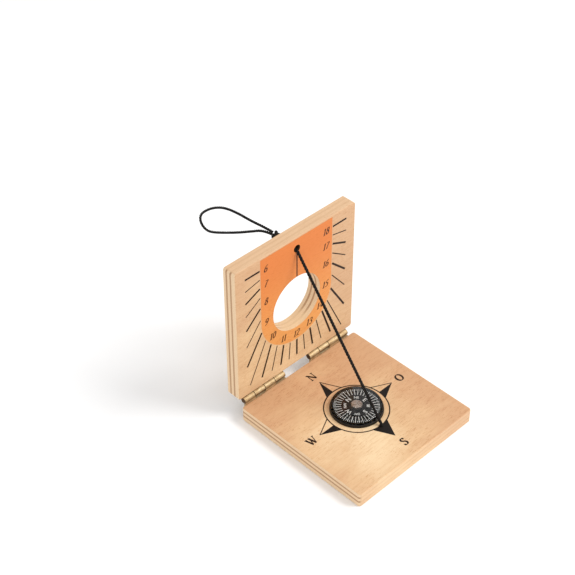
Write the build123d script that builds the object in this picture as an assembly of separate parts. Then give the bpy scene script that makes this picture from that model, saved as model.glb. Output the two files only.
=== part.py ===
from build123d import *
import math
import os

# Folding pocket sundial: two square beech ply leaves on two brass butt hinges,
# a button compass let into the base and a cord whose taut stretch is the gnomon.
# Millimetres. X is east, Y is north (towards the upright leaf), Z is up.
# The origin is the centre of the base leaf's underside.

LEAF = 60.0              # side of each square leaf
PLY = 6.0                # thickness of each leaf
CORNER_R = 1.1           # rounding of a leaf's corners in plan
ARRIS_R = 0.35           # softened edge round each leaf's faces
LEAF_BACK = 1.4          # how far the upright leaf stands behind the base's rear edge
LEAF_LIFT = 2.6          # gap from the base's top face to the upright leaf's bottom edge

WINDOW_R = 12.0          # round window in the middle of the upright leaf
DIAL_HOLE_V = 55.0       # height of the upright leaf's cord hole above its bottom edge
DIAL_HOLE_R = 1.4
BASE_HOLE_Y = -13.2      # the base's cord hole, under the rose's south arm
BASE_HOLE_R = 1.4
HOLE_ROUND = 0.4         # rounding where the cord bends over a hole's rim
KNOT_BORE_R = 3.0        # counterbore under the base for the stop knot
KNOT_BORE_DEPTH = 2.5

HINGE_MIDDLES = (-17.6, 16.4)
HINGE_LEN = 20.8
KNUCKLES = 4
KNUCKLE_GAP = 0.15
HINGE_BEHIND = 1.3       # the hinge axis, behind and above the base's rear top edge
PLATE_T = 0.8
PLATE_REACH = 6.2        # from the hinge axis to a plate's free edge, base side
DIAL_REACH = 5.2         # the same on the upright leaf
PLATE_CLEAR = 1.25       # from the axis to the long edge of a plate between knuckles
BARREL_R = 1.2
BARREL_BORE_R = 0.66
PIN_R = 0.60
SCREW_X = 6.0            # screws stand this far each side of a hinge's middle
SCREW_HEAD_R = 0.95
SCREW_HEAD_H = 0.4
SCREW_SHANK_R = 0.40
SCREW_HOLE_R = 0.42
SCREW_LEN = 4.6
BASE_SCREW_DROP = 3.9    # screw line below the axis on the base's rear edge
DIAL_SCREW_BACK = 3.3    # screw line behind the axis under the upright leaf

COMPASS_R = 10.0
RECESS_R = 10.15
RECESS_FLOOR = 1.8
CASE_TOP = 6.6
CASE_FLOOR = 0.8
CASE_BORE_R = 9.1
LENS_R = 9.6
LENS_HOLLOW_R = 9.1
BEZEL_TOP = 7.2
SHOULDER = 8.3          # where the clear cover's wall turns over into its dome
SHOULDER_ROUND = 0.5
SHOULDER_UNDER = 7.8
DOME_TOP = 9.4
DOME_UNDER = 8.9
CARD_R = 8.8
CARD_Z = 7.0
CARD_T = 0.3
HUB_STEM_R = 1.2
HUB_HEAD_R = 2.1
HUB_TOP = 8.5
HUB_BORE_R = 0.6
MAGNET_L = 13.0
MAGNET_W = 4.0
MAGNET_T = 0.9
PIVOT_R = 0.3
PIVOT_TIP = 7.9

CORD_D = 1.1             # the twine where it hangs free
GNOMON_D = 1.2           # the same twine where it is pulled straight
KNOT_R = 2.15
BASE_KNOT_H = 2.0
BASE_KNOT_TOP = 2.4
LOOP_KNOT_Y = 40.2       # near face of the knot behind the upright leaf
LOOP_KNOT_L = 3.6
KNOT_ROUND = 0.9

HALF = LEAF / 2
AXIS_Y = HALF + HINGE_BEHIND
AXIS_Z = PLY + HINGE_BEHIND
FRONT_Y = HALF + LEAF_BACK
BACK_Y = FRONT_Y + PLY
BOTTOM_Z = PLY + LEAF_LIFT
TOP_Z = BOTTOM_Z + LEAF
MID_Z = BOTTOM_Z + LEAF / 2
DIAL_HOLE_Z = BOTTOM_Z + DIAL_HOLE_V

# The cord's routes. The gnomon is pulled straight from rim to rim.
GNOMON_ROUTE = [
    (0.0, BASE_HOLE_Y, BASE_KNOT_TOP),
    (0.0, BASE_HOLE_Y, 5.7),
    (0.0, 32.0, DIAL_HOLE_Z),
    (0.0, LOOP_KNOT_Y, DIAL_HOLE_Z),
]
GNOMON_BENDS = [1.2, 1.2]
# The loop is one strand out of the knot, round the droop behind the leaf and back.
LOOP_ROUTE = [
    (0.0, 43.8, 64.17),
    (0.0, 48.2, 64.0),
    (0.5, 55.3, 62.5),
    (0.9, 63.5, 61.7),
    (1.0, 70.6, 60.3),
    (0.8, 76.6, 57.3),
    (0.5, 81.2, 53.6),
    (0.3, 84.0, 50.4),
    (0.1, 84.4, 47.5),
    (-0.1, 82.6, 45.5),
    (-0.4, 79.5, 45.2),
    (-0.8, 75.2, 47.1),
    (-1.0, 68.6, 50.7),
    (-1.0, 61.0, 55.0),
    (-0.6, 54.2, 59.1),
    (0.0, 48.6, 62.3),
    (0.0, 43.8, 63.03),
]


def save(part, node, colour):
    # Each piece is one STEP file named after its node.
    part.label = node
    part.color = Color(*colour)
    export_step(part, f"parts/{node}.step")


def cylinder(x, y, z, axis, radius, length):
    # A cylinder that starts at the point and runs along the axis.
    return Solid.make_cylinder(radius, length, Plane(origin=(x, y, z), z_dir=axis))


def span(x0, x1, y0, y1, z0, z1):
    # A block between two opposite corners.
    return Pos((x0 + x1) / 2, (y0 + y1) / 2, (z0 + z1) / 2) * Box(x1 - x0, y1 - y0, z1 - z0)


def ply_blank():
    # One leaf lying flat: rounded corners, then a softened arris round both faces.
    blank = extrude(RectangleRounded(LEAF, LEAF, CORNER_R), PLY)
    rims = blank.faces().sort_by(Axis.Z)[0].edges() + blank.faces().sort_by(Axis.Z)[-1].edges()
    return fillet(rims, ARRIS_R)


def screw_places():
    # X of the four screws in one row: two to a hinge.
    return [middle + step for middle in HINGE_MIDDLES for step in (-SCREW_X, SCREW_X)]


def base_leaf():
    # The lower leaf with the compass recess, the cord hole and its knot counterbore.
    leaf = ply_blank()
    leaf -= cylinder(0, 0, RECESS_FLOOR, (0, 0, 1), RECESS_R, PLY)
    leaf -= cylinder(0, BASE_HOLE_Y, -1, (0, 0, 1), BASE_HOLE_R, PLY + 2)
    leaf = fillet(rim_edges(leaf, Axis.Z, PLY, BASE_HOLE_R), HOLE_ROUND)
    leaf -= cylinder(0, BASE_HOLE_Y, -1, (0, 0, 1), KNOT_BORE_R, KNOT_BORE_DEPTH + 1)
    for x in screw_places():
        leaf -= cylinder(x, HALF + 1, AXIS_Z - BASE_SCREW_DROP, (0, -1, 0), SCREW_HOLE_R, SCREW_LEN + 2)
    return leaf


def rim_edges(part, axis, level, radius):
    # The circular rim of one hole, found by its height along the axis and its radius.
    rims = part.edges().filter_by(GeomType.CIRCLE)
    rims = rims.filter_by_position(axis, level - 0.01, level + 0.01)
    return rims.filter_by(lambda edge: abs(edge.radius - radius) < 0.01)


def dial_leaf():
    # The upright leaf with the round window and the hole at the top of the gnomon.
    leaf = Plane(origin=(0, BACK_Y, MID_Z), x_dir=(1, 0, 0), z_dir=(0, -1, 0)) * ply_blank()
    leaf -= cylinder(0, FRONT_Y - 1, MID_Z, (0, 1, 0), WINDOW_R, PLY + 2)
    leaf -= cylinder(0, FRONT_Y - 1, DIAL_HOLE_Z, (0, 1, 0), DIAL_HOLE_R, PLY + 2)
    leaf = fillet(rim_edges(leaf, Axis.Y, FRONT_Y, DIAL_HOLE_R), HOLE_ROUND)
    for x in screw_places():
        leaf -= cylinder(x, AXIS_Y + DIAL_SCREW_BACK, BOTTOM_Z - 1, (0, 0, 1), SCREW_HOLE_R, SCREW_LEN + 2)
    return leaf


def knuckle_spans(middle, first):
    # The X limits of every second knuckle along one hinge.
    pitch = HINGE_LEN / KNUCKLES
    start = middle - HINGE_LEN / 2
    return [
        (start + i * pitch + KNUCKLE_GAP / 2, start + (i + 1) * pitch - KNUCKLE_GAP / 2)
        for i in range(first, KNUCKLES, 2)
    ]


def hinge_base_plate(middle):
    # The plate on the base's rear edge, with the first and third knuckles.
    low, high = middle - HINGE_LEN / 2, middle + HINGE_LEN / 2
    plate = span(low, high, HALF, HALF + PLATE_T, AXIS_Z - PLATE_REACH, AXIS_Z - PLATE_CLEAR)
    for x in screw_places():
        plate -= cylinder(x, HALF - 1, AXIS_Z - BASE_SCREW_DROP, (0, 1, 0), SCREW_HOLE_R, 3)
    for x0, x1 in knuckle_spans(middle, 0):
        plate += span(x0, x1, HALF, HALF + PLATE_T, AXIS_Z - PLATE_CLEAR, AXIS_Z)
        plate += cylinder(x0, AXIS_Y, AXIS_Z, (1, 0, 0), BARREL_R, x1 - x0)
    return plate - cylinder(low - 1, AXIS_Y, AXIS_Z, (1, 0, 0), BARREL_BORE_R, HINGE_LEN + 2)


def hinge_dial_plate(middle):
    # The plate under the upright leaf, with the second and fourth knuckles.
    low, high = middle - HINGE_LEN / 2, middle + HINGE_LEN / 2
    plate = span(low, high, AXIS_Y + PLATE_CLEAR, AXIS_Y + DIAL_REACH, BOTTOM_Z - PLATE_T, BOTTOM_Z)
    for x in screw_places():
        plate -= cylinder(x, AXIS_Y + DIAL_SCREW_BACK, BOTTOM_Z - 2, (0, 0, 1), SCREW_HOLE_R, 3)
    for x0, x1 in knuckle_spans(middle, 1):
        plate += span(x0, x1, AXIS_Y, AXIS_Y + PLATE_CLEAR, BOTTOM_Z - PLATE_T, BOTTOM_Z)
        plate += cylinder(x0, AXIS_Y, AXIS_Z, (1, 0, 0), BARREL_R, x1 - x0)
    return plate - cylinder(low - 1, AXIS_Y, AXIS_Z, (1, 0, 0), BARREL_BORE_R, HINGE_LEN + 2)


def hinge_pin(middle):
    # The wire that every knuckle of one hinge turns on.
    return cylinder(middle - HINGE_LEN / 2, AXIS_Y, AXIS_Z, (1, 0, 0), PIN_R, HINGE_LEN)


def screw(x, y, z, inward):
    # A small flat-headed screw: the head stands on the plate, the shank runs into the ply.
    outward = tuple(-c for c in inward)
    head = cylinder(x, y, z, outward, SCREW_HEAD_R, SCREW_HEAD_H)
    return head + cylinder(x, y, z, inward, SCREW_SHANK_R, SCREW_LEN)


def base_hinge_screws():
    # Four screws through the two base plates into the rear edge.
    y, z = HALF + PLATE_T, AXIS_Z - BASE_SCREW_DROP
    return Compound(children=[screw(x, y, z, (0, -1, 0)) for x in screw_places()])


def dial_hinge_screws():
    # Four screws through the two upper plates into the upright leaf's bottom edge.
    y, z = AXIS_Y + DIAL_SCREW_BACK, BOTTOM_Z - PLATE_T
    return Compound(children=[screw(x, y, z, (0, 0, 1)) for x in screw_places()])


def turned(profile):
    # A round piece from half its section: (radius, height) points about the compass axis.
    face = make_face(Plane.XZ * Polyline(*profile, close=True))
    return revolve(face, Axis.Z)


def compass_case():
    # The moulded cup.
    return turned([
        (0, RECESS_FLOOR), (COMPASS_R, RECESS_FLOOR), (COMPASS_R, CASE_TOP), (CASE_BORE_R, CASE_TOP),
        (CASE_BORE_R, RECESS_FLOOR + CASE_FLOOR), (0, RECESS_FLOOR + CASE_FLOOR),
    ])


def cap_ball(radius, seat, top):
    # The ball whose cap rises from a circle at seat height to the top.
    rise = top - seat
    ball = (radius**2 + rise**2) / (2 * rise)
    return Pos(0, 0, top - ball) * Sphere(ball)


def compass_lens():
    # The clear cover, a thin cup with a domed top, standing on the case's wall.
    cover = cylinder(0, 0, CASE_TOP, (0, 0, 1), LENS_R, 4) & cap_ball(LENS_R, SHOULDER, DOME_TOP)
    rounds = [edge for edge in cover.edges() if edge.length > 6 * LENS_R]
    cover = fillet(ShapeList(rounds).sort_by(Axis.Z)[-1], SHOULDER_ROUND)
    hollow = cylinder(0, 0, CASE_TOP - 1, (0, 0, 1), LENS_HOLLOW_R, 5)
    return cover - (hollow & cap_ball(LENS_HOLLOW_R, SHOULDER_UNDER, DOME_UNDER))


def compass_bezel():
    # The snap ring round the cover's foot, its upper outer edge rounded.
    ring = turned([
        (LENS_R, CASE_TOP), (COMPASS_R, CASE_TOP), (COMPASS_R, BEZEL_TOP), (LENS_R, BEZEL_TOP),
    ])
    outer = ring.faces().sort_by(Axis.Z)[-1].edges().sort_by(SortBy.LENGTH)[-1]
    return fillet(outer, 0.2)


def compass_card():
    # The turning card, a thin disc on the hub's stem.
    card = cylinder(0, 0, CARD_Z, (0, 0, 1), CARD_R, CARD_T)
    return card - cylinder(0, 0, CARD_Z - 1, (0, 0, 1), HUB_STEM_R, CARD_T + 2)


def compass_magnet():
    # The bar magnet under the card, north to south.
    bar = span(-MAGNET_W / 2, MAGNET_W / 2, -MAGNET_L / 2, MAGNET_L / 2, CARD_Z - MAGNET_T, CARD_Z)
    return bar - cylinder(0, 0, CARD_Z - 2, (0, 0, 1), HUB_STEM_R, 3)


def compass_hub():
    # The cap on the card's middle, with the conical bearing that sits on the pivot.
    top = CARD_Z + CARD_T
    low = CARD_Z - MAGNET_T
    hub = turned([
        (HUB_BORE_R, low), (HUB_STEM_R, low), (HUB_STEM_R, top), (HUB_HEAD_R, top),
        (HUB_HEAD_R, HUB_TOP - 0.3), (HUB_HEAD_R - 0.3, HUB_TOP), (0, HUB_TOP),
        (0, PIVOT_TIP + 0.05), (HUB_BORE_R, PIVOT_TIP - 0.5),
    ])
    return hub


def compass_pivot():
    # The needle that carries the card, on a small foot in the bottom of the case.
    floor = RECESS_FLOOR + CASE_FLOOR
    return turned([
        (0, floor), (1.6, floor), (1.6, floor + 0.4), (PIVOT_R, floor + 0.4),
        (PIVOT_R, PIVOT_TIP - 0.4), (0, PIVOT_TIP),
    ])


def tube(route, radii, diameter):
    # A cord: straight runs joined by tangent arcs, swept with a round section.
    path = FilletPolyline(*route, radius=radii)
    section = Plane(origin=path @ 0, z_dir=path % 0) * Circle(diameter / 2)
    return sweep(section, path), path.length


def open_radii(route):
    # The largest even arc at each corner: 0.45 of the shorter run over tan(half the turn).
    points = [Vector(*p) for p in route]
    radii = []
    for a, b, c in zip(points, points[1:], points[2:]):
        turn = math.radians((b - a).get_angle(c - b))
        radii.append(0.45 * min((b - a).length, (c - b).length) / math.tan(turn / 2))
    return radii


def report_cord(name, solid, length, radii, diameter):
    # Arc radii, and the solid's volume against section times length.
    print(name, "arc radii", [round(r, 1) for r in radii], "length", round(length, 1))
    print(name, "volume", round(solid.volume, 2), "against", round(math.pi * diameter**2 / 4 * length, 2))


def gnomon_cord():
    # The taut stretch, knot to knot, as one round tube.
    solid, length = tube(GNOMON_ROUTE, GNOMON_BENDS, GNOMON_D)
    report_cord("gnomon_cord", solid, length, GNOMON_BENDS, GNOMON_D)
    return solid


def cord_loop():
    # The bight that hangs behind the upright leaf.
    radii = open_radii(LOOP_ROUTE)
    solid, length = tube(LOOP_ROUTE, radii, CORD_D)
    report_cord("cord_loop", solid, length, radii, CORD_D)
    return solid


def knot(y, z, axis, length):
    # An overhand knot's outer shape, flat only where the strands enter.
    body = cylinder(0, y, z, axis, KNOT_R, length)
    return fillet(body.edges().filter_by(GeomType.CIRCLE), KNOT_ROUND)


WOOD = (0.87, 0.73, 0.54)
BRASS = (0.78, 0.65, 0.36)
STEEL = (0.75, 0.76, 0.78)
BLACK = (0.03, 0.03, 0.03)
CLEAR = (0.9, 0.95, 0.95)

os.makedirs("parts", exist_ok=True)
save(base_leaf(), "base_leaf", WOOD)
save(dial_leaf(), "dial_leaf", WOOD)
for side, middle in zip(("left", "right"), HINGE_MIDDLES):
    save(hinge_base_plate(middle), f"hinge_{side}_base_plate", BRASS)
    save(hinge_dial_plate(middle), f"hinge_{side}_dial_plate", BRASS)
    save(hinge_pin(middle), f"hinge_{side}_pin", BRASS)
save(base_hinge_screws(), "base_hinge_screws", BRASS)
save(dial_hinge_screws(), "dial_hinge_screws", BRASS)
save(compass_case(), "compass_case", BLACK)
save(compass_lens(), "compass_lens", CLEAR)
save(compass_bezel(), "compass_bezel", BLACK)
save(compass_card(), "compass_card", BLACK)
save(compass_magnet(), "compass_magnet", STEEL)
save(compass_hub(), "compass_hub", BRASS)
save(compass_pivot(), "compass_pivot", STEEL)
save(gnomon_cord(), "gnomon_cord", BLACK)
save(knot(BASE_HOLE_Y, BASE_KNOT_TOP - BASE_KNOT_H, (0, 0, 1), BASE_KNOT_H), "base_knot", BLACK)
save(knot(LOOP_KNOT_Y, DIAL_HOLE_Z, (0, 1, 0), LOOP_KNOT_L), "loop_knot", BLACK)
save(cord_loop(), "cord_loop", BLACK)
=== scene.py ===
import math

import bmesh
import bpy
from mathutils import Matrix, Vector


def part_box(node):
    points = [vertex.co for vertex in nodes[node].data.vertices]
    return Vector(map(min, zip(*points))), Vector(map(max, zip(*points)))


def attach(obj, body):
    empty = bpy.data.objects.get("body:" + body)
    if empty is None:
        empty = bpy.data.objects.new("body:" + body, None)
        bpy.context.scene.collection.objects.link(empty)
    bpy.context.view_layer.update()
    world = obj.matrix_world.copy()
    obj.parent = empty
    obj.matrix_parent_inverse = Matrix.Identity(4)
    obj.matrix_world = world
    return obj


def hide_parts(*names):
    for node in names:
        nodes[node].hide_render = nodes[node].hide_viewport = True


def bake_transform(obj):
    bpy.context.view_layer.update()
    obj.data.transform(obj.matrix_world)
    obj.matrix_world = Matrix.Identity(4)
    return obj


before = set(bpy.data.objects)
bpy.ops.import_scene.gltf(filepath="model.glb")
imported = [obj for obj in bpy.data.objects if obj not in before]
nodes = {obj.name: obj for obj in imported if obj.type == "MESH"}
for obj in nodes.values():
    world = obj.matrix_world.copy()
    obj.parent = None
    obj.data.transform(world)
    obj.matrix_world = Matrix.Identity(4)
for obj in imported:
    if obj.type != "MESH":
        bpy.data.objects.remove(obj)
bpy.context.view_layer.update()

# ---------------------------------------------------------------- camera
# Looks down from the south-west over the near corner of the base.
MM = 0.001
AZIMUTH, ELEVATION, ROLL = math.radians(-44.21), math.radians(40.134), math.radians(-0.251)
AIM, DISTANCE = Vector((30.26, 67.41, 6.0)), 550.4
LENS = 84.36
back = Vector((
    math.sin(AZIMUTH) * math.cos(ELEVATION), -math.cos(AZIMUTH) * math.cos(ELEVATION), math.sin(ELEVATION),
))
right = Vector((0, 0, 1)).cross(back).normalized()
up = back.cross(right)
level, upward = math.cos(ROLL), math.sin(ROLL)
axes = (right * level + up * upward, up * level - right * upward, back)
camera = bpy.data.objects.new("camera", bpy.data.cameras.new("camera"))
bpy.context.scene.collection.objects.link(camera)
bpy.context.scene.camera = camera
camera.matrix_world = Matrix.LocRotScale(
    (AIM + back * DISTANCE) * MM, Matrix(axes).transposed().to_quaternion(), None,
)
camera.data.sensor_width = 36
camera.data.lens = LENS
camera.data.clip_start = 0.01
camera.data.clip_end = 20


# ---------------------------------------------------------------- cord loop
# The end of the cord: waxed black twine of 1.1 mm, three threads laid up. 92.5 mm of it
# stands out behind the upright leaf from its knot and droops round in a long drop shape.
TWINE, TWINE_LAY = 1.1, 3.4
LOOP_POINTS = [
    (0.0, 43.8, 64.17), (0.0, 48.2, 64.0), (0.5, 55.3, 62.5), (0.9, 63.5, 61.7),
    (1.0, 70.6, 60.3), (0.8, 76.6, 57.3), (0.5, 81.2, 53.6), (0.3, 84.0, 50.4),
    (0.1, 84.4, 47.5), (-0.1, 82.6, 45.5), (-0.4, 79.5, 45.2), (-0.8, 75.2, 47.1),
    (-1.0, 68.6, 50.7), (-1.0, 61.0, 55.0), (-0.6, 54.2, 59.1), (0.0, 48.6, 62.3),
    (0.0, 43.8, 63.03),
]


def shade(tree, kind, inputs=(), **settings):
    # One shader node: its kind, its inputs by name or number, its settings.
    made = tree.nodes.new("ShaderNode" + kind)
    for name, value in settings.items():
        setattr(made, name, value)
    for name, value in dict(inputs).items():
        if isinstance(value, bpy.types.NodeSocket):
            tree.links.new(value, made.inputs[name])
        else:
            made.inputs[name].default_value = value
    return made


def finish_named(name):
    # A new material with its tree, its surface shader, and Object coordinates in millimetres.
    material = bpy.data.materials.new(name)
    material.use_nodes = True
    tree = material.node_tree
    coords = shade(tree, "TexCoord").outputs["Object"]
    mm = shade(tree, "Mapping", {"Vector": coords, "Scale": (1000, 1000, 1000)}).outputs[0]
    return material, tree, tree.nodes["Principled BSDF"], mm


def figure(tree, mm, fineness, detail=3):
    # Noise over the place in millimetres, finer or coarser along each axis.
    squeezed = shade(tree, "Mapping", {"Vector": mm, "Scale": fineness}).outputs[0]
    return shade(tree, "TexNoise", {"Vector": squeezed, "Scale": 1.0, "Detail": detail}).outputs[0]


def tones(tree, factor, *stops):
    # Colours along a ramp, from (position, colour) stops.
    made = shade(tree, "ValToRGB", {"Fac": factor})
    elements = made.color_ramp.elements
    while len(elements) < len(stops):
        elements.new(1)
    for element, (at, colour) in zip(elements, stops):
        element.position = at
        element.color = (*colour, 1)
    return made.outputs[0]


def mixed(tree, factor, a, b, how="MIX"):
    # Two colours mixed, each a socket or a plain colour.
    made = shade(tree, "Mix", data_type="RGBA", blend_type=how)
    for socket, value in ((made.inputs[0], factor), (made.inputs[6], a), (made.inputs[7], b)):
        if isinstance(value, bpy.types.NodeSocket):
            tree.links.new(value, socket)
        else:
            socket.default_value = value if isinstance(value, float) else (*value, 1)
    return made.outputs[2]


def tinted_darker(tree, factor, colour, darker_tint):
    # A colour multiplied by a darker tint where the factor is high: real stains, and painted shade too.
    return mixed(tree, factor, colour, mixed(tree, 1.0, colour, darker_tint, "MULTIPLY"))


def maths(tree, how, a, b=0.0):
    # One sum on sockets or plain numbers.
    return shade(tree, "Math", {0: a, 1: b}, operation=how).outputs[0]


def between(tree, value, low, high, start=0.0, end=1.0):
    # A smooth step from start to end as the value goes from low to high.
    return shade(tree, "MapRange", {
        "Value": value, "From Min": low, "From Max": high, "To Min": start, "To Max": end,
    }, interpolation_type="SMOOTHSTEP").outputs[0]


def finished(tree, shader, colour, roughness):
    # A worked-out colour and roughness on a shader.
    tree.links.new(colour, shader.inputs["Base Color"])
    tree.links.new(roughness, shader.inputs["Roughness"])


def roughened(tree, shader, height, strength, deep):
    # Bump of the given depth in millimetres on a shader.
    bump = shade(tree, "Bump", {"Height": height, "Strength": strength, "Distance": deep * MM})
    tree.links.new(bump.outputs[0], shader.inputs["Normal"])


def placed(name, mesh):
    # A finished mesh as an object of the scene.
    made = bpy.data.objects.new(name, mesh)
    bpy.context.scene.collection.objects.link(made)
    return made


def read_route(name, points):
    # The points in metres that one smooth spline passes through, with the route as its controls.
    curve = bpy.data.curves.new(name, "CURVE")
    curve.dimensions = "3D"
    spline = curve.splines.new("NURBS")
    spline.points.add(len(points) - 1)
    for point, place in zip(spline.points, points):
        point.co = (*(Vector(place) * MM), 1)
    spline.order_u = 3
    spline.use_endpoint_u = True
    spline.resolution_u = 16
    route = bpy.data.objects.new(name, curve)
    line = bpy.data.meshes.new_from_object(route)
    bpy.data.objects.remove(route)
    return [v.co.copy() for v in line.vertices]


def laid_twine(name, path, across, pitch):
    # Three round threads laid up round a path into twine of the given width, as one mesh.
    step = 0.22
    thread = across / 2 / (1 + 1 / math.sin(math.pi / 3)) * MM
    lay = thread / math.sin(math.pi / 3)
    lengths = [0.0]
    for a, b in zip(path, path[1:]):
        lengths.append(lengths[-1] + (b - a).length)
    total = lengths[-1]
    number = int(total / (step * MM))
    centre, at = [], 0
    for i in range(number + 1):
        s = total * i / number
        while at < len(lengths) - 2 and lengths[at + 1] < s:
            at += 1
        share = (s - lengths[at]) / max(lengths[at + 1] - lengths[at], 1e-9)
        centre.append(path[at].lerp(path[at + 1], min(max(share, 0), 1)))
    curve = bpy.data.curves.new(name, "CURVE")
    curve.dimensions = "3D"
    curve.bevel_depth = thread
    curve.bevel_resolution = 2
    curve.use_fill_caps = True
    splines = []
    for k in range(3):
        splines.append(curve.splines.new("POLY"))
        splines[k].points.add(number)
    side = (centre[1] - centre[0]).orthogonal().normalized()
    for i, middle in enumerate(centre):
        tangent = (centre[min(i + 1, number)] - centre[max(i - 1, 0)]).normalized()
        side = (side - tangent * side.dot(tangent)).normalized()
        over = tangent.cross(side)
        for k, spline in enumerate(splines):
            angle = 2 * math.pi * (total * i / number / (pitch * MM) + k / 3)
            offset = (side * math.cos(angle) + over * math.sin(angle)) * lay
            spline.points[i].co = (*(middle + offset), 1)
    shape = bpy.data.objects.new(name, curve)
    mesh = bpy.data.meshes.new_from_object(shape)
    bpy.data.objects.remove(shape)
    mesh.shade_smooth()
    return placed(name, mesh)


twine, tree, shader, mm = finish_named("waxed_black_twine")
fibre = figure(tree, mm, (8, 8, 8))
waxed = tones(tree, fibre, (0.3, (0.002, 0.0018, 0.0018)), (0.75, (0.014, 0.011, 0.009)))
finished(tree, shader, waxed, between(tree, fibre, 0.3, 0.75, 0.5, 0.72))
shader.inputs["Specular IOR Level"].default_value = 0.18
shader.inputs["Sheen Weight"].default_value = 0.015
roughened(tree, shader, fibre, 0.5, 0.06)

loop_path = read_route("loop_route", LOOP_POINTS)
loop = laid_twine("cord_loop_twine", loop_path, TWINE, TWINE_LAY)
loop.data.materials.append(twine)
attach(loop, "upright")
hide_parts("cord_loop")


# ---------------------------------------------------------------- stop knots
# Overhand knots pulled tight in the same twine: one behind the upright leaf where the loop
# is tied off, one up in the counterbore under the base. They hold the cord by friction.
BASE_HOLE_Y, DIAL_HOLE_Z = -13.2, 63.6


def overhand(name, middle, axis, radius, thick, body, node):
    # A three-lobed knot of round twine, pulled flat along the axis.
    curve = bpy.data.curves.new(name, "CURVE")
    curve.dimensions = "3D"
    curve.bevel_depth = thick * MM
    curve.bevel_resolution = 4
    spline = curve.splines.new("NURBS")
    count = 24
    spline.points.add(count - 1)
    turn = Vector((0, 0, 1)).rotation_difference(Vector(axis))
    for i, point in enumerate(spline.points):
        t = 2 * math.pi * i / count
        lobed = Vector((
            math.sin(t) + 2 * math.sin(2 * t), math.cos(t) - 2 * math.cos(2 * t), -1.25 * math.sin(3 * t),
        )) * radius / 3
        point.co = (*((turn @ lobed + Vector(middle)) * MM), 1)
    spline.order_u = 3
    spline.use_cyclic_u = True
    spline.resolution_u = 8
    shape = bpy.data.objects.new(name, curve)
    mesh = bpy.data.meshes.new_from_object(shape)
    bpy.data.objects.remove(shape)
    mesh.shade_smooth()
    mesh.materials.append(twine)
    made = placed(name, mesh)
    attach(made, body)
    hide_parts(node)
    return made


loop_stop = overhand(
    "loop_stop_knot", (0, 42.0, DIAL_HOLE_Z), (0, 1, 0), radius=1.35, thick=0.62,
    body="upright", node="loop_knot",
)
overhand(
    "base_stop_knot", (0, BASE_HOLE_Y, 1.4), (0, 0, 1), radius=1.5, thick=0.45,
    body="base", node="base_knot",
)

# ---------------------------------------------------------------- gnomon cord
# The shadow caster: the twine pulled straight and tight from the hole in the base to the hole
# near the top of the upright leaf. It slopes as the earth's axis does.
TAUT_TWINE, TAUT_LAY = 1.2, 3.6
GNOMON_POINTS = [
    (0.0, BASE_HOLE_Y, 2.4), (0.0, BASE_HOLE_Y, 5.7), (0.0, -11.2, 8.3),
    (0.0, 29.5, 60.4), (0.0, 32.0, DIAL_HOLE_Z), (0.0, 40.2, DIAL_HOLE_Z),
]
gnomon = laid_twine("gnomon_twine", read_route("gnomon_route", GNOMON_POINTS), TAUT_TWINE, TAUT_LAY)
gnomon.data.materials.append(twine)
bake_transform(gnomon)
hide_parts("gnomon_cord")


# ---------------------------------------------------------------- leaves
# Two square leaves of five-layer beech ply, sanded and oiled: warm tan faces, paler round one
# point in a painted pool of light, with short brown flecks along the hinge line and two darker cross
# plies in the cut edges. The drilled holes are darker inside and at their lips with painted shade.
PLY = 6.0
dial_low, dial_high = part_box("dial_leaf")
base_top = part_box("base_leaf")[1].z


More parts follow.
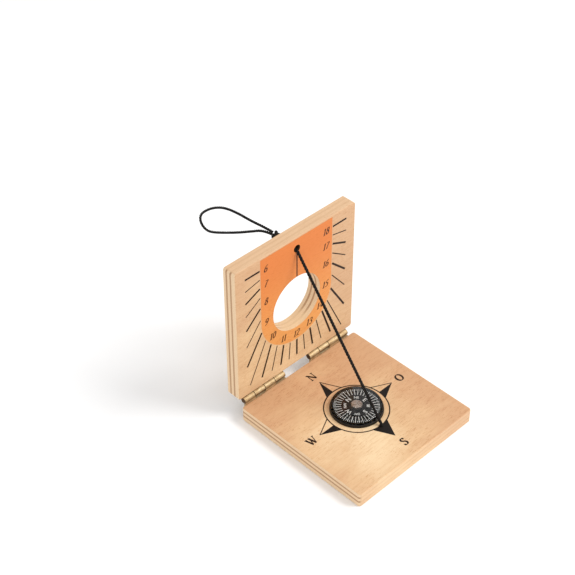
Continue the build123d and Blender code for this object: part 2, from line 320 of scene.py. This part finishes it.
def beech(name, depth_axis, face_at, plies, painted_light_at, reach, veneer, hole, hole_axes):
    # Ply whose layers are counted from a face of the leaf, as shares of its thickness.
    material, tree, shader, mm = finish_named(name)
    place = shade(tree, "SeparateXYZ", {0: mm}).outputs
    lean = shade(tree, "SeparateXYZ", {0: shade(tree, "NewGeometry").outputs["Normal"]}).outputs
    # Veneer: a painted pool of light, paler round one point and darker away from it, with
    # clouds of the wood's own tone in it, fine grain and flecks.
    aside = shade(tree, "VectorMath", {0: mm, 1: painted_light_at}, operation="DISTANCE").outputs["Value"]
    cloud = figure(tree, mm, (0.045, 0.085, 0.085))
    spread = maths(tree, "ADD", maths(tree, "DIVIDE", aside, reach), maths(tree, "MULTIPLY", cloud, 1.2))
    dark, middle, light = veneer
    face = tones(tree, maths(tree, "SUBTRACT", spread, 0.40), (0.22, light), (0.58, middle), (0.98, dark))
    grain = figure(tree, mm, (0.10, 1.1, 1.1), 5)
    fleck = figure(tree, mm, (0.62, 5.6, 5.6), 2)
    pore = figure(tree, mm, (1.5, 10, 10), 2)
    patch = figure(tree, mm, (0.11, 0.11, 0.11), 2)
    face = tinted_darker(tree, between(tree, grain, 0.45, 0.72, 0.0, 0.5), face, (0.88, 0.80, 0.74))
    scattered = between(tree, patch, 0.35, 0.6, 0.35, 1.0)
    flecks = maths(tree, "MULTIPLY", between(tree, fleck, 0.57, 0.68), scattered)
    face = tinted_darker(tree, flecks, face, (0.80, 0.67, 0.57))
    face = tinted_darker(tree, between(tree, pore, 0.60, 0.74), face, (0.90, 0.83, 0.77))
    # Cut edges: paler wood with the cross plies as two darker lines.
    wave = figure(tree, mm, (0.25, 0.25, 0.25), 2)
    wander = maths(tree, "MULTIPLY", maths(tree, "SUBTRACT", wave, 0.5), 0.03)
    depth = maths(tree, "DIVIDE", maths(tree, "SUBTRACT", face_at / MM, place[depth_axis]), PLY)
    layer = maths(tree, "ADD", depth, wander)
    cross = None
    for ply in plies:
        gap = maths(tree, "ABSOLUTE", maths(tree, "SUBTRACT", layer, ply))
        line = between(tree, gap, 0.045, 0.085, 1.0, 0.0)
        cross = line if cross is None else maths(tree, "MAXIMUM", cross, line)
    speck = figure(tree, mm, (3.5, 3.5, 3.5), 2)
    pale = tones(tree, speck, (0.3, (0.70, 0.49, 0.300)), (0.62, (0.84, 0.62, 0.395)))
    brown = tones(tree, speck, (0.3, (0.37, 0.20, 0.105)), (0.65, (0.53, 0.31, 0.17)))
    cut = mixed(tree, cross, pale, brown)
    sawn = between(tree, maths(tree, "ABSOLUTE", lean[0]), 0.35, 0.75)
    planed = between(tree, maths(tree, "ABSOLUTE", lean[depth_axis]), 0.35, 0.75, 1.0, 0.0)
    side = mixed(tree, 0.35, face, pale)
    side = tinted_darker(tree, maths(tree, "MULTIPLY", cross, 0.22), side, (0.70, 0.60, 0.52))
    wood = mixed(tree, sawn, mixed(tree, planed, face, side), cut)
    # Painted shade in the drilled hole: darker inside it and round its lip.
    radius = maths(tree, "SQRT", maths(
        tree, "ADD",
        maths(tree, "POWER", maths(tree, "SUBTRACT", place[hole_axes[0]], hole[0]), 2.0),
        maths(tree, "POWER", maths(tree, "SUBTRACT", place[hole_axes[1]], hole[1]), 2.0),
    ))
    wood = tinted_darker(tree, between(tree, radius, 1.5, 1.95, 1.0, 0.0), wood, (0.075, 0.045, 0.03))
    finished(tree, shader, wood, between(tree, fleck, 0.4, 0.75, 0.52, 0.66))
    shader.inputs["Specular IOR Level"].default_value = 0.22
    furrows = maths(tree, "ADD", maths(tree, "MULTIPLY", fleck, -0.6), maths(tree, "MULTIPLY", pore, -0.4))
    roughened(tree, shader, furrows, 0.3, 0.05)
    return material


base_wood = beech(
    "beech_ply_base", depth_axis=2, face_at=base_top, plies=(0.27, 0.60),
    painted_light_at=(-7, -12, base_top / MM), reach=50,
    veneer=((0.60, 0.350, 0.190), (0.70, 0.465, 0.260), (0.80, 0.595, 0.365)),
    hole=(0, BASE_HOLE_Y), hole_axes=(0, 1),
)
dial_wood = beech(
    "beech_ply_dial", depth_axis=1, face_at=dial_high.y, plies=(0.30, 0.64),
    painted_light_at=(-8, dial_low.y / MM, 10), reach=60,
    veneer=((0.60, 0.370, 0.210), (0.67, 0.445, 0.250), (0.80, 0.570, 0.335)),
    hole=(0, DIAL_HOLE_Z), hole_axes=(0, 2),
)
for node, material in (("base_leaf", base_wood), ("dial_leaf", dial_wood)):
    nodes[node].data.materials.clear()
    nodes[node].data.materials.append(material)


# ---------------------------------------------------------------- dial printing
# Screen printing on the upright leaf, about 0.02 mm thick: an orange field, paler at its foot,
# round the window, and dark hour and half-hour lines that all point at the cord's hole.
HOLE_V = 55.0
FIELD_HALF, FIELD_TOP, ROUND_V = 17.9, 59.45, 30.0
FIELD_FOOT = dial_low.z / MM + ROUND_V - FIELD_HALF
FIELD_MIDDLE = dial_low.z / MM + 56
WINDOW_EDGE, HOLE_EDGE = 12.02, 1.55
LIFT, INK = 0.02, 0.01


def flat_mesh(name, outlines):
    # Filled outlines in millimetres. An outline is a list of points, or a circle (x, y, radius).
    curve = bpy.data.curves.new(name, "CURVE")
    curve.dimensions = "2D"
    curve.fill_mode = "BOTH"
    curve.extrude = 0.008 * MM
    curve.resolution_u = 24
    for outline in outlines:
        if isinstance(outline, tuple):
            x, y, radius = outline
            spline = curve.splines.new("BEZIER")
            spline.bezier_points.add(3)
            for i, point in enumerate(spline.bezier_points):
                angle = math.pi / 2 * i
                spoke = Vector((math.cos(angle), math.sin(angle), 0)) * radius
                handle = Vector((-spoke.y, spoke.x, 0)) * 0.5523
                point.co = (Vector((x, y, 0)) + spoke) * MM
                point.handle_left = point.co - handle * MM
                point.handle_right = point.co + handle * MM
        else:
            spline = curve.splines.new("POLY")
            spline.points.add(len(outline) - 1)
            for point, (px, py) in zip(spline.points, outline):
                point.co = (px * MM, py * MM, 0, 1)
        spline.use_cyclic_u = True
    shape = bpy.data.objects.new(name, curve)
    mesh = bpy.data.meshes.new_from_object(shape)
    bpy.data.objects.remove(shape)
    return mesh


def printed(name, mesh, sheet, ink, body):
    # A flat mesh laid on the printed sheet that the matrix gives.
    mesh.transform(sheet)
    made = placed(name, mesh)
    mesh.materials.append(ink)
    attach(made, body)


def screen_ink(name, colour, thin, foot=None):
    # Printing ink, thinner over the wood's furrows. The orange also pales towards the foot.
    material, tree, shader, mm = finish_named(name)
    if foot:
        height = shade(tree, "SeparateXYZ", {0: mm}).outputs[2]
        colour = mixed(tree, between(tree, height, FIELD_FOOT, FIELD_MIDDLE, 1.0, 0.0), colour, foot)
    furrow = figure(tree, mm, (0.62, 5.6, 5.6), 2)
    cloud = figure(tree, mm, (0.12, 0.12, 0.12), 2)
    patchy = between(tree, cloud, 0.3, 0.7, 0.4, 1.0)
    wear = maths(tree, "MULTIPLY", between(tree, furrow, 0.54, 0.70), patchy)
    finished(tree, shader, mixed(tree, wear, colour, thin), between(tree, furrow, 0.4, 0.7, 0.5, 0.62))
    shader.inputs["Specular IOR Level"].default_value = 0.18
    roughened(tree, shader, furrow, 0.2, 0.04)
    return material


def raised(height):
    # A shift off the printed sheet, in millimetres.
    return Matrix.Translation((0, 0, height * MM))


dial_foot = Matrix.Translation((0, dial_low.y, dial_low.z))
on_dial = dial_foot @ Matrix.Rotation(math.pi / 2, 4, "X") @ raised(LIFT)
orange = screen_ink("orange_ink", (0.66, 0.198, 0.050), (0.60, 0.180, 0.045), (0.76, 0.335, 0.100))
dark_brown = screen_ink("dark_brown_ink", (0.022, 0.009, 0.004), (0.055, 0.024, 0.011))

field = [(-FIELD_HALF, FIELD_TOP)]
field += [
    (-FIELD_HALF * math.cos(math.pi * i / 64), ROUND_V - FIELD_HALF * math.sin(math.pi * i / 64))
    for i in range(65)
]
field += [(FIELD_HALF, FIELD_TOP)]
field_holes = [(0, ROUND_V, WINDOW_EDGE), (0, HOLE_V, HOLE_EDGE)]
field_mesh = flat_mesh("dial_orange_field", [field, *field_holes])
printed("dial_orange_field", field_mesh, on_dial, orange, "upright")


def bar(a, b, width):
    # A straight printed line as a four-sided outline.
    a, b = Vector(a), Vector(b)
    across = Vector((-(b - a).y, (b - a).x)).normalized() * width / 2
    return [tuple(a + across), tuple(b + across), tuple(b - across), tuple(a - across)]


LATITUDE = math.radians(52)
HOUR_WIDE, HALF_WIDE, NOON_WIDE = 0.80, 0.42, 0.55
LINES_HALF, LINES_FOOT, FIELD_GAP = 25.3, 4.0, 0.35


def off_the_field(place):
    # Whether a point of the dial is clear of the orange field below the hole.
    return math.hypot(place.x, min(place.y - ROUND_V, 0)) >= FIELD_HALF + FIELD_GAP


pole = Vector((0, HOLE_V))
hour_bars = [bar((0, HOLE_V - 1.6), (0, 42.2), NOON_WIDE)]
for half_hours in range(-12, 13):
    if abs(half_hours) == 12:
        ray = Vector((math.copysign(1, half_hours), 0))
        far = LINES_HALF
    else:
        slope = math.atan(math.cos(LATITUDE) * math.tan(math.radians(7.5 * half_hours)))
        ray = Vector((math.sin(slope), -math.cos(slope)))
        far = min(LINES_HALF / max(abs(ray.x), 1e-6), (HOLE_V - LINES_FOOT) / -ray.y)
    near = 0.0
    while near < far and not off_the_field(pole + ray * near):
        near += 0.05
    wide = HOUR_WIDE if half_hours % 2 == 0 else HALF_WIDE
    hour_bars.append(bar(pole + ray * near, pole + ray * far, wide))
hours_mesh = flat_mesh("dial_hour_lines", hour_bars)
printed("dial_hour_lines", hours_mesh, on_dial @ raised(INK), dark_brown, "upright")

# ---------------------------------------------------------------- dial numbers
# The hours from 6 to 18 round the orange field, in a bold sloped book face. Each figure is
# drawn as its pen strokes, in a box one unit high; a ring is (middle x, y, half width, height).
FIGURES = {
    "0": (0.56, [(1.0, (0.28, 0.5, 0.21, 0.46))]),
    "1": (0.40, [
        (1.0, [(0.21, 0.02), (0.21, 0.98)]), (0.5, [(0.05, 0.80), (0.19, 0.95)]),
        (1.0, [(0.04, 0.03), (0.38, 0.03)]),
    ]),
    "2": (0.54, [
        (0.9, [
            (0.07, 0.74), (0.15, 0.92), (0.31, 0.97), (0.45, 0.84), (0.43, 0.63), (0.25, 0.34), (0.06, 0.07),
        ]),
        (1.0, [(0.05, 0.05), (0.28, 0.08), (0.52, 0.05)]),
    ]),
    "3": (0.54, [
        (0.9, [(0.08, 0.82), (0.22, 0.97), (0.42, 0.89), (0.40, 0.66), (0.20, 0.54)]),
        (0.9, [(0.20, 0.54), (0.44, 0.44), (0.46, 0.17), (0.26, 0.02), (0.06, 0.11)]),
    ]),
    "4": (0.56, [
        (1.0, [(0.40, 0.98), (0.40, 0.0)]), (0.45, [(0.40, 0.97), (0.03, 0.31)]),
        (1.0, [(0.03, 0.29), (0.56, 0.29)]),
    ]),
    "5": (0.54, [
        (1.0, [(0.15, 0.93), (0.50, 0.96)]), (0.5, [(0.15, 0.93), (0.11, 0.56)]),
        (0.9, [(0.11, 0.56), (0.32, 0.61), (0.46, 0.42), (0.40, 0.12), (0.20, 0.02), (0.05, 0.09)]),
    ]),
    "6": (0.56, [
        (0.85, [(0.47, 0.97), (0.20, 0.80), (0.09, 0.44), (0.10, 0.28)]), (1.0, (0.29, 0.29, 0.20, 0.26)),
    ]),
    "7": (0.52, [(1.0, [(0.06, 0.93), (0.51, 0.93)]), (0.9, [(0.50, 0.93), (0.30, 0.5), (0.20, 0.0)])]),
    "8": (0.56, [(0.9, (0.28, 0.75, 0.16, 0.21)), (1.0, (0.28, 0.27, 0.20, 0.25))]),
    "9": (0.56, [
        (1.0, (0.27, 0.71, 0.20, 0.26)), (0.85, [(0.46, 0.72), (0.47, 0.56), (0.36, 0.20), (0.09, 0.03)]),
    ]),
}


def pen_stroke(points, weight, thick, thin):
    # An open stroke's outline: thick where the pen runs up or down, thin where it runs across.
    points = [Vector(point) for point in points]
    held = [points[0] * 2 - points[1], *points, points[-1] * 2 - points[-2]]
    line = []
    for a, b, c, d in zip(held, held[1:], held[2:], held[3:]):
        for i in range(8):
            t = i / 8
            square, cube = a * 2 - b * 5 + c * 4 - d, b * 3 - a - c * 3 + d
            line.append((b * 2 + (c - a) * t + square * t**2 + cube * t**3) / 2)
    line.append(points[-1])
    left, other = [], []
    for i, place in enumerate(line):
        along = (line[min(i + 1, len(line) - 1)] - line[max(i - 1, 0)]).normalized()
        half = max(thin, thin + (thick * weight - thin) * abs(along.y)) / 2
        left.append(place + Vector((-along.y, along.x)) * half)
        other.append(place - Vector((-along.y, along.x)) * half)
    return [left + other[::-1]]


def pen_ring(ring, weight, thick, thin):
    # A closed stroke's outer and inner outlines.
    x, y, half_wide, half_high = ring
    outer, inner = [], []
    for i in range(40):
        angle = 2 * math.pi * i / 40
        spoke = Vector((math.cos(angle) * half_wide, math.sin(angle) * half_high))
        along = Vector((-math.sin(angle) * half_wide, math.cos(angle) * half_high)).normalized()
        half = (thin + (thick * weight - thin) * abs(along.y)) / 2
        outer.append(Vector((x, y)) + spoke + Vector((along.y, -along.x)) * half)
        inner.append(Vector((x, y)) + spoke - Vector((along.y, -along.x)) * half)
    return [outer, inner]


def penned(name, words, characters, high, slope, thick, thin, gap):
    # Pen-drawn words, each centred on its own place, as one flat mesh. Each stroke lies a
    # micrometre over the last, so that strokes that cross don't lie in one plane.
    whole = bmesh.new()
    for word, x, y in words:
        wide = sum(characters[c][0] for c in word) + gap * (len(word) - 1)
        at = -wide / 2
        for character in word:
            width, strokes = characters[character]
            for number, (weight, shape) in enumerate(strokes):
                drawn = (pen_ring if isinstance(shape, tuple) else pen_stroke)(shape, weight, thick, thin)
                outlines = [
                    [(x + (p.x + at + slope * (p.y - 0.5)) * high, y + (p.y - 0.5) * high) for p in outline]
                    for outline in drawn
                ]
                mesh = flat_mesh(name, outlines)
                mesh.transform(raised(0.001 * number))
                whole.from_mesh(mesh)
                bpy.data.meshes.remove(mesh)
            at += width + gap
    joined = bpy.data.meshes.new(name)
    whole.to_mesh(joined)
    whole.free()
    return joined


HOURS = [
    ("6", -15.2, 54.6), ("7", -15.2, 47.8), ("8", -15.2, 39.6), ("9", -15.2, 29.8), ("10", -12.2, 21.2),
    ("11", -6.7, 16.4), ("12", 0, 14.9), ("13", 6.7, 16.4), ("14", 12.2, 21.2), ("15", 15.0, 29.8),
    ("16", 15.0, 39.6), ("17", 15.0, 47.8), ("18", 15.0, 54.6),
]
hours_penned = penned("dial_numbers", HOURS, FIGURES, high=2.9, slope=0.26, thick=0.18, thin=0.07, gap=0.05)
number_brown = screen_ink("number_brown_ink", (0.060, 0.018, 0.006), (0.130, 0.040, 0.012))
printed("dial_numbers", hours_penned, on_dial @ raised(2 * INK), number_brown, "upright")

# ---------------------------------------------------------------- compass rose
# Printed on the base round the compass: a thin circle, four arrow points, the south one solid
# and the rest half dark and half open, and the four winds' letters, all upright to north.
ROSE_R, TIP_R, ARM_HALF = 12.2, 19.3, 3.9
RING_HALF, EDGE_WIDE, BULGE = 0.24, 0.34, 1.003
LETTERS_R, LETTER_HIGH = 23.4, 3.5
on_base = Matrix.Translation((0, 0, base_top)) @ raised(LIFT)
rose_black = screen_ink("black_ink", (0.008, 0.005, 0.004), (0.022, 0.012, 0.008))
ring_mesh = flat_mesh("rose_ring", [(0, 0, ROSE_R + RING_HALF), (0, 0, ROSE_R - RING_HALF)])
printed("rose_ring", ring_mesh, on_base, dark_brown, "base")
foot = math.sqrt(ROSE_R**2 - ARM_HALF**2)
dark_halves, open_edges = [], []
for i, (left_dark, right_dark) in enumerate(((True, False), (False, True), (True, True), (True, False))):
    turn = Matrix.Rotation(-math.pi / 2 * i, 2)
    tip, left, far_side, middle = (
        turn @ Vector(place) for place in ((0, TIP_R), (-ARM_HALF, foot), (ARM_HALF, foot), (0, ROSE_R))
    )
    for side, is_dark in ((left, left_dark), (far_side, right_dark)):
        if is_dark:
            dark_halves.append([tuple(tip), tuple(side), tuple((side + middle) / 2 * BULGE), tuple(middle)])
        else:
            open_edges.append(bar(tip, side, EDGE_WIDE))
halves_mesh = flat_mesh("rose_dark_halves", dark_halves)
printed("rose_dark_halves", halves_mesh, on_base @ raised(INK), rose_black, "base")
edges_mesh = flat_mesh("rose_outlines", open_edges)
printed("rose_outlines", edges_mesh, on_base @ raised(2 * INK), dark_brown, "base")
CAPITALS = {
    "N": (0.92, [
        (0.42, [(0.15, 0.03), (0.15, 0.97)]), (1.0, [(0.13, 0.96), (0.76, 0.04)]),
        (0.42, [(0.78, 0.04), (0.78, 0.97)]), (1.0, [(0.02, 0.03), (0.29, 0.03)]),
        (1.0, [(0.0, 0.97), (0.20, 0.97)]), (1.0, [(0.64, 0.97), (0.92, 0.97)]),
    ]),
    "O": (0.86, [(1.0, (0.43, 0.5, 0.36, 0.47))]),
    "S": (0.62, [
        (1.0, [
            (0.53, 0.82), (0.42, 0.95), (0.24, 0.94), (0.14, 0.78), (0.25, 0.60), (0.44, 0.45), (0.53, 0.25),
            (0.42, 0.05), (0.20, 0.04), (0.08, 0.18),
        ]),
        (0.42, [(0.54, 0.98), (0.54, 0.74)]), (0.42, [(0.06, 0.27), (0.06, 0.02)]),
    ]),
    "W": (1.16, [
        (1.0, [(0.12, 0.96), (0.38, 0.02)]), (0.42, [(0.38, 0.02), (0.60, 0.90)]),
        (1.0, [(0.52, 0.96), (0.78, 0.02)]), (0.42, [(0.78, 0.02), (1.03, 0.96)]),
        (1.0, [(-0.02, 0.97), (0.26, 0.97)]), (1.0, [(0.40, 0.97), (0.66, 0.97)]),
        (1.0, [(0.90, 0.97), (1.16, 0.97)]),
    ]),
}
WINDS = [("N", 0, LETTERS_R), ("O", LETTERS_R, 0), ("S", 0, -LETTERS_R), ("W", -LETTERS_R, 0)]
winds_penned = penned(
    "rose_letters", WINDS, CAPITALS, high=LETTER_HIGH, slope=0.0, thick=0.23, thin=0.095, gap=0.0,
)
printed("rose_letters", winds_penned, on_base, dark_brown, "base")

# ---------------------------------------------------------------- hinges
# Two small butt hinges stamped and rolled from brass strip, with drawn brass pins and small
# flat-headed screws: satin, browner in the scratches and clouds, dark between the knuckles, with
# painted shade on the barrels' downward faces.
hinge_low, hinge_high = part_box("hinge_left_pin")
KNUCKLES = 4
KNUCKLE = (hinge_high.x - hinge_low.x) / MM / KNUCKLES
BARREL_EDGE, BARREL_PAST = 1.25, 1.5
brass, tree, shader, mm = finish_named("satin_brass")
scratch = figure(tree, mm, (0.9, 8, 8))
cloud = figure(tree, mm, (0.45, 0.8, 0.8))
tone = tones(
    tree, cloud, (0.32, (0.43, 0.285, 0.140)), (0.5, (0.55, 0.405, 0.217)), (0.68, (0.65, 0.51, 0.31)),
)
tone = tinted_darker(tree, between(tree, scratch, 0.55, 0.72), tone, (0.62, 0.50, 0.38))
along_pin = shade(tree, "SeparateXYZ", {0: mm}).outputs[0]
joint_dirt_and_shade = None
for left_end in (hinge_low.x / MM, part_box("hinge_right_pin")[0].x / MM):
    for joint in range(KNUCKLES + 1):
        gap = maths(tree, "ABSOLUTE", maths(tree, "SUBTRACT", along_pin, left_end + joint * KNUCKLE))
        line = between(tree, gap, 0.06, 0.22, 1.0, 0.0)
        joint_dirt_and_shade = line if joint_dirt_and_shade is None else maths(tree, "MAXIMUM", joint_dirt_and_shade, line)
facing = shade(tree, "SeparateXYZ", {0: shade(tree, "NewGeometry").outputs["Normal"]}).outputs[2]
in_line = shade(tree, "Mapping", {"Vector": mm, "Scale": (0, 1, 1)}).outputs[0]
pin_middle = (0, (hinge_low.y + hinge_high.y) / 2 / MM, (hinge_low.z + hinge_high.z) / 2 / MM)
from_pin = shade(tree, "VectorMath", {0: in_line, 1: pin_middle}, operation="DISTANCE").outputs["Value"]
# Painted shade: the barrel darker on all but its upward faces, over the dark joints between the knuckles;
# both are kept to the barrel.
joint_dirt_and_shade = maths(tree, "MAXIMUM", joint_dirt_and_shade, between(tree, facing, -0.1, 0.4, 0.85, 0.0))
joint_dirt_and_shade = maths(tree, "MULTIPLY", joint_dirt_and_shade, between(tree, from_pin, BARREL_EDGE, BARREL_PAST, 1.0, 0.0))
tone = tinted_darker(tree, joint_dirt_and_shade, tone, (0.20, 0.13, 0.08))
finished(tree, shader, tone, between(tree, scratch, 0.3, 0.8, 0.5, 0.68))
shader.inputs["Metallic"].default_value = 0.6
roughened(tree, shader, scratch, 0.3, 0.03)
for node in nodes:
    if "hinge" in node:
        nodes[node].data.materials.clear()
        nodes[node].data.materials.append(brass)

# ---------------------------------------------------------------- compass
# A 20 mm button compass let into the base: glossy black moulded case and snap ring, clear
# domed cover, a black card printed in white that turns on a steel point under its metal cap.
plastic, tree, shader, mm = finish_named("black_moulded_plastic")
moulded = figure(tree, mm, (3, 3, 3))
tone = tones(tree, moulded, (0.3, (0.004, 0.004, 0.004)), (0.7, (0.010, 0.009, 0.009)))
finished(tree, shader, tone, between(tree, moulded, 0.3, 0.7, 0.26, 0.38))
shader.inputs["Specular IOR Level"].default_value = 0.25
roughened(tree, shader, moulded, 0.15, 0.02)
clear, tree, shader, mm = finish_named("clear_moulded_cover")
haze = figure(tree, mm, (0.4, 0.4, 0.4))
shader.inputs["Base Color"].default_value = (0.97, 0.98, 0.98, 1)
shader.inputs["Transmission Weight"].default_value = 1.0
shader.inputs["IOR"].default_value = 1.25
tree.links.new(between(tree, haze, 0.4, 0.7, 0.0, 0.05), shader.inputs["Roughness"])
black_card, tree, shader, mm = finish_named("black_card")
weave = figure(tree, mm, (2, 2, 2))
tone = tones(tree, weave, (0.3, (0.006, 0.006, 0.006)), (0.7, (0.018, 0.016, 0.015)))
finished(tree, shader, tone, between(tree, weave, 0.3, 0.7, 0.5, 0.65))
shader.inputs["Specular IOR Level"].default_value = 0.15
steel, tree, shader, mm = finish_named("bright_steel")
brushed = figure(tree, mm, (8, 1, 8), 2)
tone = tones(tree, brushed, (0.3, (0.42, 0.42, 0.43)), (0.7, (0.62, 0.62, 0.63)))
finished(tree, shader, tone, between(tree, brushed, 0.3, 0.7, 0.25, 0.4))
shader.inputs["Metallic"].default_value = 1.0
cap, tree, shader, mm = finish_named("hub_cap_metal")
worn = figure(tree, mm, (1.6, 1.6, 1.6))
tone = tones(tree, worn, (0.35, (0.25, 0.17, 0.13)), (0.65, (0.60, 0.51, 0.45)))
finished(tree, shader, tone, between(tree, worn, 0.35, 0.65, 0.4, 0.25))
shader.inputs["Metallic"].default_value = 0.9
for node, material in (
    ("compass_case", plastic), ("compass_bezel", plastic), ("compass_lens", clear),
    ("compass_card", black_card), ("compass_magnet", steel), ("compass_pivot", steel), ("compass_hub", cap),
):
    nodes[node].data.materials.clear()
    nodes[node].data.materials.append(material)

# The card's printing: a mark every ten degrees with a short one between, and the eight winds.
white, tree, shader, mm = finish_named("white_card_ink")
speckle = figure(tree, mm, (6, 6, 6), 2)
tone = tones(tree, speckle, (0.3, (0.62, 0.61, 0.57)), (0.6, (0.90, 0.89, 0.85)))
finished(tree, shader, tone, between(tree, speckle, 0.3, 0.7, 0.45, 0.6))
on_card = Matrix.Translation((0, 0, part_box("compass_card")[1].z)) @ raised(LIFT)
MARKS_R, LETTERS_AT = 8.6, 4.2
LONG_MARK, SHORT_MARK = (5.7, 0.23), (7.7, 0.11)
marks = []
for i in range(72):
    angle = math.radians(5 * i)
    spoke = Vector((math.sin(angle), math.cos(angle)))
    inner, wide = LONG_MARK if i % 2 == 0 else SHORT_MARK
    marks.append(bar(spoke * inner, spoke * MARKS_R, wide))
printed("card_graduations", flat_mesh("card_graduations", marks), on_card, white, "card")
lettered = bmesh.new()
for i, word in enumerate(("N", "NE", "E", "SE", "S", "SW", "W", "NW")):
    text = bpy.data.curves.new("card_letters", "FONT")
    text.body = word
    text.size = (2.5 if len(word) == 1 else 1.5) * MM
    text.offset = 0.03 * MM
    text.align_x = "CENTER"
    text.align_y = "CENTER"
    text.extrude = 0.008 * MM
    shape = bpy.data.objects.new("card_letters", text)
    mesh = bpy.data.meshes.new_from_object(shape)
    bpy.data.objects.remove(shape)
    mesh.transform(Matrix.Translation((0, LETTERS_AT * MM, 0)))
    mesh.transform(Matrix.Rotation(-math.radians(45 * i), 4, "Z"))
    lettered.from_mesh(mesh)
    bpy.data.meshes.remove(mesh)
letters_mesh = bpy.data.meshes.new("card_letters")
lettered.to_mesh(letters_mesh)
lettered.free()
printed("card_letters", letters_mesh, on_card, white, "card")

# ---------------------------------------------------------------- studio
# A plain pale floor, one broad key from the right, a weak fill from the left and a white room.
# The standard view transform leaves the materials' own colours as they are.
bpy.context.scene.view_settings.view_transform = "Standard"
FLOOR_GAP = 0.05
floor_mesh = bpy.data.meshes.new("floor")
sheet = bmesh.new()
bmesh.ops.create_grid(sheet, x_segments=1, y_segments=1, size=4)
bmesh.ops.translate(sheet, verts=sheet.verts, vec=(0, 0, -FLOOR_GAP * MM))
sheet.to_mesh(floor_mesh)
sheet.free()
floor = placed("floor", floor_mesh)
pale_floor, tree, shader, mm = finish_named("pale_floor")
shader.inputs["Base Color"].default_value = (0.95, 0.95, 0.95, 1)
shader.inputs["Roughness"].default_value = 0.9
floor_mesh.materials.append(pale_floor)


def softbox(name, place, aim, width, power):
    # A round area light turned to its aim.
    light = bpy.data.objects.new(name, bpy.data.lights.new(name, "AREA"))
    light.data.shape = "DISK"
    light.data.size = width
    light.data.energy = power
    light.location = place
    light.rotation_mode = "QUATERNION"
    light.rotation_quaternion = (Vector(place) - Vector(aim)).to_track_quat("Z", "Y")
    bpy.context.scene.collection.objects.link(light)


softbox("key", (0.45, -0.5, 0.75), (0, 0, 0.02), 0.5, 6.0)
softbox("fill", (-0.7, -0.35, 0.45), (0, 0, 0.02), 0.7, 0.8)
world = bpy.data.worlds.new("studio")
world.use_nodes = True
world.node_tree.nodes["Background"].inputs[0].default_value = (1, 1, 1, 1)
world.node_tree.nodes["Background"].inputs[1].default_value = 0.82
bpy.context.scene.world = world
